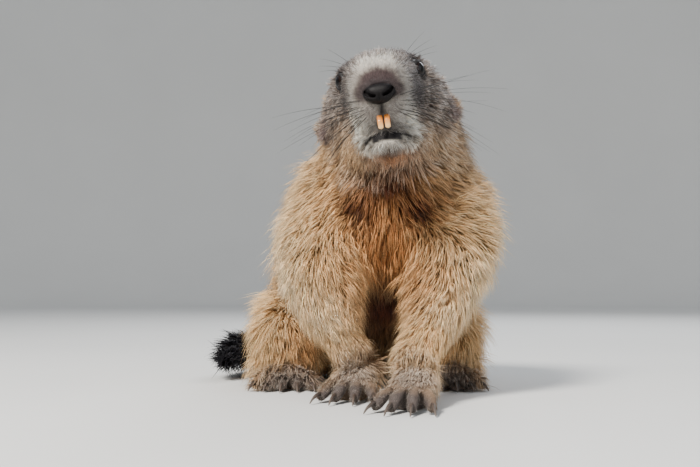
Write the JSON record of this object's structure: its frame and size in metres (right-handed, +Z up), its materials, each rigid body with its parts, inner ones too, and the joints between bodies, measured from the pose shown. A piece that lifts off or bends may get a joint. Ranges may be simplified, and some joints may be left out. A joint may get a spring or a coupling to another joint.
{
  "type": "alpine marmot, still life-size model",
  "caption": "Alpine marmot sitting on its haunches with both forepaws on the floor, head raised towards the viewer, tail laid round its right side.",
  "frame": {"origin": "on the floor, on the flat underside of the rump", "axes": "+Z up; the animal faces -Y and its own left side is +X"},
  "size_m": [0.2407, 0.3718, 0.2502],
  "materials": {
    "tawny_fur": "dense tawny to orange-brown fur with pale tips",
    "grey_fur": "short grey-brown fur with white tips, white round the muzzle",
    "pale_fur": "cream to tan fur",
    "black_fur": "long blue-black fur",
    "paw_skin": "grey-brown skin under very short hair",
    "claw_horn": "dark worn horn",
    "eye_dark": "wet, nearly black eye",
    "nose_skin": "moist black nose leather",
    "tooth_enamel": "orange enamel, paler at the cutting edge"
  },
  "bodies": {
    "root": {"claw_fore_left_1": "claw_horn", "claw_fore_left_2": "claw_horn", "claw_fore_left_3": "claw_horn", "claw_fore_left_4": "claw_horn", "claw_fore_right_1": "claw_horn", "claw_fore_right_2": "claw_horn", "claw_fore_right_3": "claw_horn", "claw_fore_right_4": "claw_horn", "claw_hind_left_1": "claw_horn", "claw_hind_left_2": "claw_horn", "claw_hind_left_3": "claw_horn", "claw_hind_left_4": "claw_horn", "claw_hind_left_5": "claw_horn", "claw_hind_right_1": "claw_horn", "claw_hind_right_2": "claw_horn", "claw_hind_right_3": "claw_horn", "claw_hind_right_4": "claw_horn", "claw_hind_right_5": "claw_horn", "ear_left": "grey_fur", "ear_right": "grey_fur", "eye_left": "eye_dark", "eye_right": "eye_dark", "forearm_left": "pale_fur", "forearm_right": "pale_fur", "forepaw_left": "paw_skin", "forepaw_right": "paw_skin", "head": "grey_fur", "hindpaw_left": "paw_skin", "hindpaw_right": "paw_skin", "incisor_left": "tooth_enamel", "incisor_right": "tooth_enamel", "lower_jaw": "grey_fur", "neck": "grey_fur", "nose_pad": "nose_skin", "tail_base": "tawny_fur", "tail_middle": "tawny_fur", "tail_tuft": "black_fur", "thigh_left": "tawny_fur", "thigh_right": "tawny_fur", "torso": "tawny_fur", "upper_arm_left": "tawny_fur", "upper_arm_right": "tawny_fur"}
  },
  "joints": []
}
